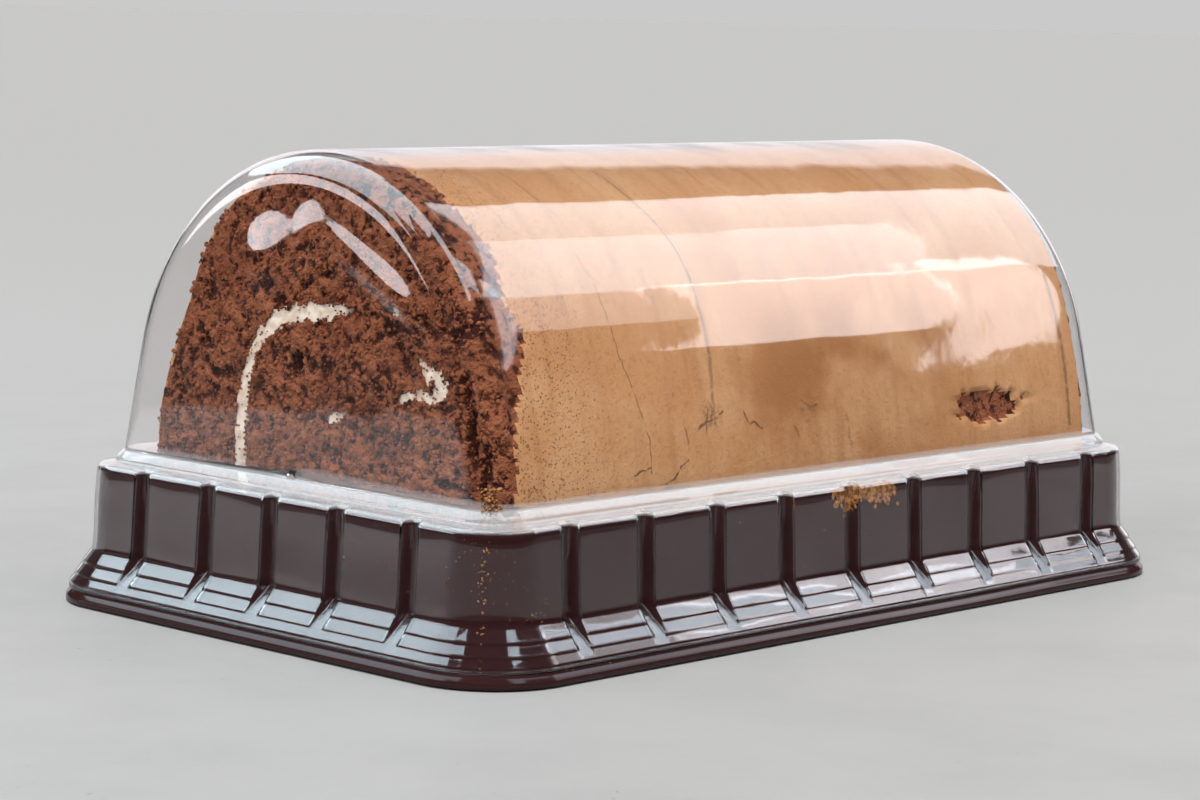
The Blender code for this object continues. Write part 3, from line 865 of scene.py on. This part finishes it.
# Marks in the skin as polylines of (along X, round the roll from the side at -Y upwards) in mm,
# each with its half width and strength
SKIN_MARKS = (
    (((-36, 62), (-34.9, 51.3), (-33.2, 43.9), (-32.3, 37), (-32, 30.2)), 0.45, 0.5),
    (((-32, 30.2), (-32.3, 21.5), (-32.1, 12.6), (-33, 5), (-33.7, 1.5)), 0.9, 0.45),
    (((-63, 36), (-60.1, 13.2), (-56.9, 3.6), (-54.3, -4.4), (-54.5, -10.9)), 0.28, 0.5),
    (((-63.4, 64.9), (-62.2, 51.4), (-61, 46)), 0.35, 0.4),
    (((-6.2, 64.1), (-7.4, 54.6)), 0.45, 0.35),
    (((63.6, 67.6), (61.7, 61.1)), 0.45, 0.35),
    (((-59.6, -10.6), (-57, -9.9), (-54.4, -9.7)), 0.3, 0.8),
    (((-52, -13.2), (-47.5, -12), (-45, -9.6), (-43, -9)), 0.42, 0.85),
    (((-39, -3.2), (-36.2, -2.2), (-33, -1.6), (-31, -0.5)), 0.5, 0.75),
    (((-36.8, -4.5), (-35.8, -1), (-35, 1)), 0.45, 0.6),
    (((-23.9, -1), (-22.6, -3.6), (-20.8, -3.3), (-18.6, -4.8)), 0.35, 0.75),
    (((-43.5, -1), (-42.6, -7)), 0.35, 0.5),
    (((-4.6, 0.2), (-1.5, -1.6), (0.4, -1.2)), 0.4, 0.5),
    (((-8, -4), (-6.5, -7)), 0.6, 0.35),
    (((93.2, 24), (94, 8), (93.6, -12)), 1.0, 0.5),
    (((10, -4), (11, -10)), 0.7, 0.3),
)
# Soft smudges: middle, half lengths, strength. The stain is a wide one that is only tinted.
SKIN_SMUDGES = ((-34.4, -1.0, 4.5, 4.0, 0.55), (-3.0, -2.0, 5.0, 5.0, 0.25))
SKIN_STAIN = (12.0, 4.0, 62, 24)


def segment_group():
    """Node group: how far a point is from the line between two ends."""
    tree = bpy.data.node_groups.new("distance_to_line", "ShaderNodeTree")
    for name in ("Point", "Start", "End"):
        tree.interface.new_socket(name, in_out="INPUT", socket_type="NodeSocketVector")
    tree.interface.new_socket("Distance", in_out="OUTPUT", socket_type="NodeSocketFloat")
    given = add_node(tree, "NodeGroupInput").outputs
    run = add_vector(tree, "SUBTRACT", given["End"], given["Start"])
    away = add_vector(tree, "SUBTRACT", given["Point"], given["Start"])
    share = add_node(tree, "Math", {
        0: add_vector(tree, "DOT_PRODUCT", away, run), 1: add_vector(tree, "DOT_PRODUCT", run, run)},
        operation="DIVIDE", use_clamp=True).outputs[0]
    near = add_node(tree, "VectorMath", {0: run, "Scale": share}, operation="SCALE").outputs["Vector"]
    rest = add_vector(tree, "LENGTH", add_vector(tree, "SUBTRACT", away, near))
    add_node(tree, "NodeGroupOutput", {"Distance": rest})
    return tree


def unrolled(look):
    """The skin laid flat: along X, and round the roll from the side at -Y upwards, in mm."""
    axes = look.axes(look.place)
    up = look.math("SUBTRACT", axes["Z"], ROLL_CENTRE.y)
    out = look.math("SUBTRACT", ROLL_CENTRE.x, axes["Y"])
    turn = look.math("ARCTAN2", up, out)
    return look.add("CombineXYZ", {
        "X": look.times(axes["X"], 1 / MM), "Y": look.times(turn, 50.0)}).outputs["Vector"]


def oval_distance(look, flat, x, w, half_x, half_w):
    """How far a place of the flat skin is from an oval's middle, 1 at its edge."""
    away = look.vector("SUBTRACT", flat, (x, w, 0))
    return look.vector("LENGTH", look.vector("MULTIPLY", away, (1 / half_x, 1 / half_w, 1)))


def skin_marks(look, flat):
    """Share of dark that the cracks and smudges give, from 0 to 1."""
    group = segment_group()
    jitter = look.add("TexNoise", {"Vector": look.place, "Scale": 1 / (1.6 * MM), "Detail": 2.0})
    shift = look.vector("SUBTRACT", jitter.outputs["Color"], (0.5, 0.5, 0.5))
    bent = look.vector("MULTIPLY_ADD", shift, (1.1, 1.1, 0.0), flat)
    dark = 0.0
    for line, half_width, strength in SKIN_MARKS:
        nearest = 100.0
        for start, end in zip(line, line[1:]):
            ends = {"Start": (*start, 0), "End": (*end, 0)}
            piece = look.add("Group", {"Point": bent, **ends}, node_tree=group)
            nearest = look.math("MINIMUM", piece.outputs["Distance"], nearest)
        mark = look.ranged(nearest, half_width, 0.1 * half_width, 0.0, strength)
        dark = look.math("MAXIMUM", mark, dark)
    dark = look.times(dark, look.ranged(look.noise(2.2), 0.36, 0.5, 0.25, 1.0))
    specks = look.ranged(look.noise(1.0, 3.0, 0.6), 0.42, 0.62)
    for *oval, strength in SKIN_SMUDGES:
        near = look.ranged(oval_distance(look, flat, *oval), 1.0, 0.2, 0.0, strength)
        dark = look.math("MAXIMUM", dark, look.times(near, specks))
    return dark


def baked_skin(roll):
    """The sponge's baked skin: smooth tan, with fine pores by the cut end, streaks and cracks."""
    look = Look("baked_sponge_skin")
    flat = unrolled(look)
    along = look.axes(flat)["X"]
    drawn = look.add("Mapping", {"Vector": flat, "Scale": (1.0, 0.12, 1.0)}).outputs["Vector"]
    mottle, bubbles = look.noise(24, 3.0, 0.6), look.noise(1.1, 3.0, 0.7)
    tone = look.blend(look.ranged(mottle, 0.35, 0.65), roll.skin_colour, roll.skin_light)
    for pattern, low, high, share in (
            (look.noise(5.0, 3.0, vector=drawn), 0.48, 0.72, 0.35),
            (look.noise(1 / 1.1, vector=drawn), 0.5, 0.8, 0.14), (bubbles, 0.5, 0.68, 0.35)):
        tone = look.blend(look.ranged(pattern, low, high, 0.0, share), tone, roll.skin_dark)
    stain = look.ranged(oval_distance(look, flat, *SKIN_STAIN), 1.0, 0.25)
    stain = look.times(stain, look.ranged(mottle, 0.62, 0.38, 0.3, 1.0))
    tone = look.blend(stain, tone, roll.skin_dark)
    pores = look.add("TexVoronoi", {
        "Vector": look.place, "Scale": 1 / (0.75 * MM), "Randomness": 1.0}).outputs["Distance"]
    size = look.times(look.ranged(along, -50, -88, 0.12, 0.36),
                      look.ranged(look.noise(2.2), 0.3, 0.7, 0.5, 1.0))
    pore = look.ranged(look.math("SUBTRACT", pores, size), 0.05, -0.05)
    tone = look.blend(look.times(pore, 0.6), tone, "#6f4224")
    tone = look.blend(skin_marks(look, flat), tone, "#3a2015")
    relief = look.math("SUBTRACT", look.times(bubbles, 1.5), pore)
    return look.finish(look.surface(tone, 0.62, 0.3, bump=(relief, 0.6, 0.25)))


def vanilla_cream(roll):
    """Whipped vanilla cream: soft off-white that lets a little light in."""
    look = Look("whipped_vanilla_cream")
    mottle = look.noise(2.2, 3.0)
    tone = look.blend(look.ranged(mottle, 0.45, 0.75, 0.0, 0.6), roll.cream_colour, "#dcb598")
    return look.finish(look.surface(
        tone, 0.5, bump=(mottle, 0.6, 0.6), Subsurface_Weight=0.3, Subsurface_Scale=1.5 * MM,
        Subsurface_Radius=(1.0, 0.7, 0.5)))


# Crumbs

CRUMB_LOT = 60
AWAY_FROM_CUT = Vector((-1, 0, 0))


def grow_crumbs(spots, draw):
    """A bmesh of rough grains at the spots of (place, size, flatness, normal), made in small lots."""
    whole = bmesh.new()
    lot = bpy.data.meshes.new("crumb_lot")
    for first in range(0, len(spots), CRUMB_LOT):
        bm = bmesh.new()
        for place, size, flatness, normal in spots[first:first + CRUMB_LOT]:
            made = bmesh.ops.create_icosphere(bm, subdivisions=1, radius=size)["verts"]
            for vert in made:
                vert.co *= draw.uniform(0.65, 1.2)
            bmesh.ops.scale(bm, vec=(draw.uniform(0.7, 1.1), draw.uniform(0.7, 1.2), flatness), verts=made)
            turn = normal.to_track_quat("Z", "Y").to_matrix() @ Matrix.Rotation(draw.uniform(0, 6.28), 3, "Z")
            bmesh.ops.rotate(bm, cent=(0, 0, 0), matrix=turn, verts=made)
            bmesh.ops.translate(bm, vec=place, verts=made)
        bm.to_mesh(lot)
        bm.free()
        whole.from_mesh(lot)
    bpy.data.meshes.remove(lot)
    return whole


def surface_of(name):
    return BVHTree.FromObject(bpy.data.objects[name], bpy.context.evaluated_depsgraph_get())


class SWISSROLL_OT_crumbs(bpy.types.Operator):
    """Scatter the loose crumbs that cling to both ends and to the edges of the cream"""
    bl_idname = "swissroll.crumbs"
    bl_label = "Loose Crumbs"

    def execute(self, context):
        roll = context.scene.swissroll_roll
        draw = random.Random(roll.seed)
        sponge = surface_of("rolled_sponge")
        spots = []
        for end, face, count in ((-1, roll.start, roll.crumb_count), (1, roll.stop, roll.crumb_count // 3)):
            for _ in range(count):
                across, up = draw.uniform(-0.0565, 0.0525), draw.uniform(0.003, 0.099)
                aim = Vector((face + end * 20 * MM, across, up))
                size = draw.uniform(0.3, 0.85) ** 1.3 * MM
                hit, normal = sponge.ray_cast(aim, Vector((-end, 0, 0)), 0.03)[:2]
                if hit is None or abs(hit.x - face) > 6 * MM or abs(normal.x) < 0.2:
                    continue
                spots.append((hit + normal * (0.15 * size), size, draw.uniform(0.7, 1.0), normal))

        def cling(place, size):
            spots.append((Vector((roll.start - 0.1 * MM, *place)), size * MM, 0.9, AWAY_FROM_CUT))

        for a, b, (_, _, thick) in zip(*cream_sides(steps=10), smooth_curve(CREAM_LINE, 10)):
            for side in (-0.08, 0.0, 1.0, 1.08):
                cling(a.lerp(b, side + draw.gauss(0, 0.07)), draw.uniform(0.22, 0.5))
            if thick < 0.0014:
                for _ in range(4):
                    cling(a.lerp(b, draw.uniform(-0.6, 1.6)), draw.uniform(0.45, 0.75))
            elif draw.random() < 0.55:
                cling(a.lerp(b, draw.random()), draw.uniform(0.15, 0.34))
        finish_piece(grow_crumbs(spots, draw), "loose_crumbs", [chocolate_crumb(roll)], sharp=80)
        return {"FINISHED"}


# Crumbs caught between lid and tray, from a trail and specks at the corner to the smear on the
# ledge and specks on both walls: count, where their rays start and end on a straight line, which
# way the rays run, scatter, smallest and largest size, all in mm
CAUGHT = (
    (45, (-150, -104, 28), (-150, -104, 4), (0.70, 0.72, 0.0), 1.0, 0.1, 0.3),
    (110, (-156, -104, 28), (-135, -118, 4), (0.70, 0.72, 0.0), 6.0, 0.07, 0.2),
    (900, (-4.5, -72, 36.4), (13.5, -72, 36.4), (0.0, 0.72, -0.69), 2.0, 0.3, 0.85),
    (60, (-150, -20, 20), (-150, -60, 20), (1.0, 0.0, 0.0), 7.0, 0.06, 0.17),
    (60, (-90, -100, 20), (0, -100, 20), (0.0, 1.0, 0.0), 7.0, 0.06, 0.17),
)
# The clump of crumbs under the lid at the near corner of the cut end
CLUMP_COUNT = 190
CLUMP_PLACE = Vector((-0.1018, -0.0562, 0.0308))
SHEET_GAP = 0.14 * MM


class SWISSROLL_OT_caught(bpy.types.Operator):
    """Model the golden crumbs that are caught between lid and tray"""
    bl_idname = "swissroll.caught"
    bl_label = "Caught Crumbs"

    def execute(self, context):
        draw = random.Random(context.scene.swissroll_roll.seed + 1)
        tray = surface_of("brown_tray")
        spots = []
        for count, start, end, way, scatter, small, large in CAUGHT:
            for _ in range(count):
                aim = Vector(start).lerp(Vector(end), draw.random())
                aim += Vector([draw.gauss(0, scatter * 0.5) for _ in range(3)])
                hit, normal = tray.ray_cast(aim * MM, Vector(way), 0.2)[:2]
                if hit is not None:
                    size = draw.uniform(small, large) * MM
                    spots.append((hit + normal * SHEET_GAP, size, min(0.12 * MM / size, 0.8), normal))
        for _ in range(CLUMP_COUNT):
            shift = Vector((draw.gauss(0, 1.1), draw.gauss(0, 0.9), draw.uniform(-1.6, 7.0))) * MM
            spots.append((CLUMP_PLACE + shift, draw.uniform(0.2, 0.55) * MM, 0.8, UP))
        finish_piece(grow_crumbs(spots, draw), "caught_crumbs", [golden_crumb()], sharp=80)
        return {"FINISHED"}


def golden_crumb():
    """Crumbs rubbed off the baked skin: dry and golden."""
    look = Look("golden_skin_crumb")
    tone = look.blend(look.ranged(look.noise(0.9, 3.0), 0.35, 0.65), "#b98450", "#6e4222")
    return look.finish(look.surface(tone, 0.85, 0.25))


# Stage


class SWISSROLL_OT_stage(bpy.types.Operator):
    """Set up the camera, the pale floor and the soft studio light"""
    bl_idname = "swissroll.stage"
    bl_label = "Stage"

    def execute(self, context):
        stage = context.scene.swissroll_stage
        make_floor(stage)
        make_cards()
        make_camera(stage)
        make_lights()
        make_surroundings()
        context.scene.view_settings.view_transform = "Standard"
        return {"FINISHED"}


def make_floor(stage):
    """A pale table top, matt, with cloudy marks and a few dark specks near the object. Seen in a reflection
    it is painted darker and reddish: painted shade in what the lid and tray mirror.
    """
    look = Look("pale_table_top")
    near = look.ranged(look.vector("LENGTH", look.place), 0.6, 0.15)
    cloud = look.times(look.ranged(look.noise(60, 6.0, 0.65), 0.35, 0.7, 0.0, 0.5), near)
    specks = look.ranged(look.noise(2.2, 3.0, 0.6), 0.66, 0.76)
    specks = look.times(specks, look.ranged(look.noise(60), 0.5, 0.62, 0.0, 0.5))
    tone = look.blend(cloud, stage.floor_colour, "#a6a6a5")
    tone = look.blend(look.times(specks, near), tone, "#6f6a64")
    # Painted shade: darker and reddish where the floor is seen in a reflection
    tone = look.blend(look.times(look.mirrored(), 0.45), tone, "#5f5455")
    bm = bmesh.new()
    bmesh.ops.create_grid(bm, x_segments=1, y_segments=1, size=stage.floor_size / 2)
    bmesh.ops.translate(bm, vec=(0, 0, -0.1 * MM), verts=bm.verts)
    mesh_object(bm, "floor", [look.finish(look.surface(tone, 0.6, 0.2))])


# Black cards that only reflections see, each part of a cylinder: name, its middle along X,
# radius, lower and upper edge, first and last compass turn in degrees
CARDS = (
    ("room_card", 0.0, 1.15, 0.0, 0.22, 85, 373),
    ("end_card", -0.104, 0.20, 0.027, 0.088, 280, 355),
)


def make_cards():
    """A low black card round the table, open towards the backdrop, and a small one before the cut end."""
    look = Look("black_card")
    tone = look.blend(look.ranged(look.axes(look.place)["Z"], 0.024, 0.06), "#8b8988", "#2a2828")
    card = look.add("BsdfDiffuse", {"Color": tone}).outputs[0]
    unseen = look.add("BsdfTransparent").outputs[0]
    material = look.finish(look.mix(look.mirrored(), unseen, card))
    for name, middle, radius, low, high, first, last in CARDS:
        turn = math.radians(first)
        start = Vector((middle + radius * math.sin(turn), radius * math.cos(turn), low))
        bm = bmesh.new()
        chain(bm, [start, start + UP * (high - low)], closed=False)
        bmesh.ops.spin(bm, geom=bm.verts[:] + bm.edges[:], cent=(middle, 0, 0), axis=(0, 0, -1),
                       angle=math.radians(last - first), steps=48)
        piece = mesh_object(bm, name, [material])
        piece.visible_shadow = False


def compass(turn, rise):
    """The way that points a turn from +Y towards +X and a rise over the floor."""
    return Vector((math.sin(turn) * math.cos(rise), math.cos(turn) * math.cos(rise), math.sin(rise)))


def make_camera(stage):
    back = -compass(stage.camera_yaw, -stage.camera_pitch)
    side = UP.cross(back).normalized()
    turn = Matrix((side, back.cross(side), back)).transposed().to_4x4()
    turn @= Matrix.Rotation(stage.camera_roll, 4, "Z")
    data = bpy.data.cameras.new("camera")
    data.sensor_width = 36.0
    data.lens = stage.camera_lens
    bpy.context.scene.camera = add_object("camera", data, Matrix.Translation(stage.camera_place) @ turn)


WHITE, COOL, ICY = (1.0, 0.96, 1.0), (0.80, 0.90, 1.0), (0.78, 0.95, 1.05)
# Soft boxes beside and above the roll that its lid mirrors: name, shape, angle round the roll's
# axis from the side at -Y upwards, middle along X, size along X, size across, radiance, tint.
# They stand 1 m from that axis.
SIDE_BOXES = (
    ("side_upper", "RECTANGLE", 77.5, 1.325, 1.05, 0.95, 2.5, COOL),
    ("side_core", "RECTANGLE", 66.0, 1.04, 0.50, 0.52, 1.2, COOL),
    ("side_veil", "RECTANGLE", 44.0, 0.93, 0.20, 0.28, 1.6, WHITE),
    ("side_lower", "RECTANGLE", 37.5, 1.17, 0.28, 0.54, 3.6, WHITE),
    ("side_tongue", "ELLIPSE", 33.0, 1.42, 0.24, 0.95, 3.2, WHITE),
    ("side_edge", "ELLIPSE", 40.0, 0.80, 0.10, 0.75, 2.8, WHITE),
)
ROLL_AXIS_HEIGHT = 0.05
# Level soft boxes overhead: name, middle along X and Y, size along X and Y, radiance
OVERHEAD_BOXES = (
    ("overhead_box", -0.53, 0.97, 1.34, 1.44, 4.0), ("overhead_edge", -0.35, 0.125, 0.80, 0.25, 4.0),
    ("overhead_corner", -0.165, -0.10, 0.43, 0.20, 4.0),
    ("overhead_tongue", -0.055, -0.475, 0.21, 0.55, 4.0), ("overhead_fill", 0.335, -0.50, 0.57, 0.24, 3.4),
)
OVERHEAD_HEIGHT = 0.85
# Lamps that light the cake and the table evenly and that no surface mirrors: name, compass turn
# from +Y towards +X, height, softness, all in degrees, strength
LAMPS = (
    ("top_lamp", 235, 58, 30, 2.9), ("side_lamp", 160, 38, 50, 0.7), ("end_lamp", 274, 24, 60, 0.72),
)


def make_lights():
    for name, shape, angle, middle, *box in SIDE_BOXES:
        turn = math.radians(angle)
        place = (middle, -math.cos(turn), ROLL_AXIS_HEIGHT + math.sin(turn))
        add_soft_box(name, shape, place, math.radians(90) - turn, 0.0, *box)
    for name, x, y, *box in OVERHEAD_BOXES:
        add_soft_box(name, "RECTANGLE", (x, y, OVERHEAD_HEIGHT), 0.0, 0.0, *box, ICY)
    add_soft_box("end_box", "RECTANGLE", (-0.72, 0.72, 0.272), math.radians(-90), math.radians(46),
                 0.58, 0.30, 4.8, WHITE)
    for name, turn, rise, softness, strength in LAMPS:
        data = bpy.data.lights.new(name, "SUN")
        data.energy = strength
        data.angle = math.radians(softness)
        away = compass(math.radians(turn), math.radians(rise))
        lamp = add_object(name, data, away.to_track_quat("Z", "Y").to_matrix().to_4x4())
        lamp.visible_glossy = False
        lamp.visible_transmission = False


def add_soft_box(name, shape, place, tip, turn, size_x, size_y, radiance, tint):
    """An area light of an even radiance that only glossy surfaces see."""
    data = bpy.data.lights.new(name, "AREA")
    data.shape = shape
    data.size = size_x
    data.size_y = size_y
    data.color = tint
    data.energy = radiance * math.pi * size_x * size_y * (math.pi / 4 if shape == "ELLIPSE" else 1.0)
    light = add_object(name, data, Matrix.Translation(place) @ Matrix.Rotation(turn, 4, "Z")
                       @ Matrix.Rotation(tip, 4, "X"))
    light.visible_diffuse = False
    light.visible_camera = False


def make_surroundings():
    """A pale room for the view and the soft light. Glossy surfaces see a dark one with a pale
    backdrop low behind the roll."""
    look = Look("studio", world=True)
    axes = look.axes(look.place)
    room = look.add("ValToRGB", {"Fac": axes["Z"]})
    room.color_ramp.elements.new(0.12)
    for element, tone in zip(room.color_ramp.elements, ("#cacaca", "#cecece", "#c4c4c4")):
        element.color = linear(tone)
    turn = look.math("ARCTAN2", axes["X"], axes["Y"])
    beside = look.math("ABSOLUTE", look.math("SUBTRACT", turn, math.radians(48)))
    wide = look.ranged(beside, math.radians(40), math.radians(34))
    low = look.ranged(axes["Z"], math.sin(math.radians(31)), math.sin(math.radians(28)))
    studio = look.blend(look.times(wide, low), (0.035, 0.033, 0.034, 1.0), (1.08, 1.02, 1.05, 1.0))
    seen, soft, mirrored = (
        look.add("Background", {"Color": tone, "Strength": strength}).outputs[0]
        for tone, strength in ((room.outputs[0], 1.0), (room.outputs[0], 0.5), (studio, 1.0)))
    inner = look.mix(look.mirrored(), seen, mirrored)
    diffuse = look.add("LightPath").outputs["Is Diffuse Ray"]
    bpy.context.scene.world = look.finish(look.mix(diffuse, inner, soft))


class SWISSROLL_PT_panel(bpy.types.Panel):
    """Lists the pieces of the swiss roll pack"""
    bl_idname = "SWISSROLL_PT_panel"
    bl_label = "Swiss Roll Pack"
    bl_space_type = "VIEW_3D"
    bl_region_type = "UI"
    bl_category = "Swiss Roll"

    def draw(self, context):
        for operator in PIECES:
            self.layout.operator(operator.bl_idname)
        for group in SETTINGS:
            settings = getattr(context.scene, group)
            box = self.layout.box()
            for key in settings.__annotations__:
                box.prop(settings, key, text=key.replace("_", " ").capitalize())


# In the order in which main builds them: crumbs are scattered over finished pieces
PIECES = (SWISSROLL_OT_tray, SWISSROLL_OT_lid, SWISSROLL_OT_sponge, SWISSROLL_OT_cream,
          SWISSROLL_OT_crumbs, SWISSROLL_OT_caught, SWISSROLL_OT_stage)
SETTINGS = {"swissroll_pack": PackSettings, "swissroll_roll": RollSettings, "swissroll_stage": StageSettings}


def register():
    for kind in (*SETTINGS.values(), *PIECES, SWISSROLL_PT_panel):
        bpy.utils.register_class(kind)
    for name, kind in SETTINGS.items():
        setattr(bpy.types.Scene, name, PointerProperty(type=kind))


def unregister():
    for name in SETTINGS:
        delattr(bpy.types.Scene, name)
    for kind in (SWISSROLL_PT_panel, *PIECES, *SETTINGS.values()):
        bpy.utils.unregister_class(kind)


def main():
    register()
    for operator in PIECES:
        getattr(bpy.ops.swissroll, operator.bl_idname.split(".")[1])()


if __name__ == "__main__":
    main()
